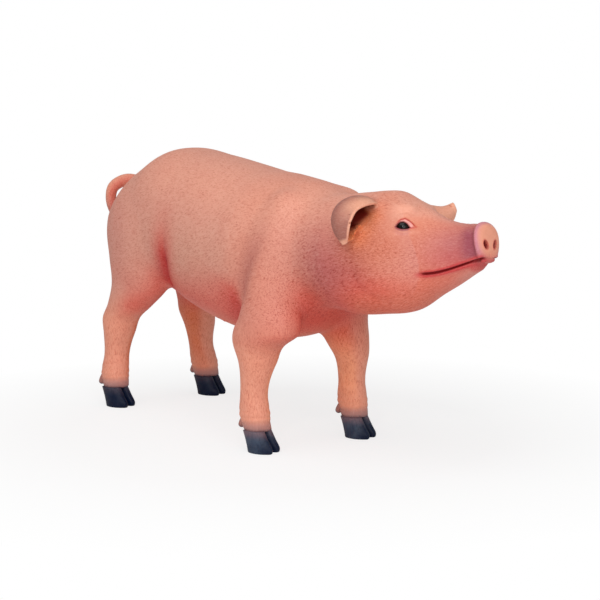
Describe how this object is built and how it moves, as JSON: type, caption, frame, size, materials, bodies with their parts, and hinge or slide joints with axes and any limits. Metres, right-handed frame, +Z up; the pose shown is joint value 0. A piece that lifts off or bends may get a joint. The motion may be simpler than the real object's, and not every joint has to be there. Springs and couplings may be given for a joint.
{
  "type": "painted resin pig statue",
  "caption": "Life-size painted resin statue of a young pig standing square, head turned left and slightly raised, tail curled; rests on the soles of its hooves.",
  "frame": {"origin": "on the ground under the middle of the statue's overall box", "axes": "+X towards the snout, +Y to the pig's left, +Z up"},
  "size_m": [1.0086, 0.3176, 0.509],
  "materials": {
    "skin_paint": "satin airbrushed flesh paint over cast resin with an engraved short-hair texture, redder in the folds",
    "hoof_paint": "satin slate blue-black paint, fading to mauve at the coronet",
    "dewclaw_paint": "satin brown-pink paint with dark tips",
    "eye_glass": "high-gloss black glass or acrylic eye"
  },
  "bodies": {
    "root": {"claw_fore_left_inner": "hoof_paint", "claw_fore_left_outer": "hoof_paint", "claw_fore_right_inner": "hoof_paint", "claw_fore_right_outer": "hoof_paint", "claw_hind_left_inner": "hoof_paint", "claw_hind_left_outer": "hoof_paint", "claw_hind_right_inner": "hoof_paint", "claw_hind_right_outer": "hoof_paint", "dewclaw_fore_left_inner": "dewclaw_paint", "dewclaw_fore_left_outer": "dewclaw_paint", "dewclaw_fore_right_inner": "dewclaw_paint", "dewclaw_fore_right_outer": "dewclaw_paint", "dewclaw_hind_left_inner": "dewclaw_paint", "dewclaw_hind_left_outer": "dewclaw_paint", "dewclaw_hind_right_inner": "dewclaw_paint", "dewclaw_hind_right_outer": "dewclaw_paint", "ear_left": "skin_paint", "ear_right": "skin_paint", "eye_left": "eye_glass", "eye_right": "eye_glass", "head": "skin_paint", "leg_fore_left": "skin_paint", "leg_fore_right": "skin_paint", "leg_hind_left": "skin_paint", "leg_hind_right": "skin_paint", "lower_jaw": "skin_paint", "neck": "skin_paint", "snout": "skin_paint", "tail_root": "skin_paint", "tail_tip": "skin_paint", "trunk": "skin_paint"}
  },
  "joints": []
}
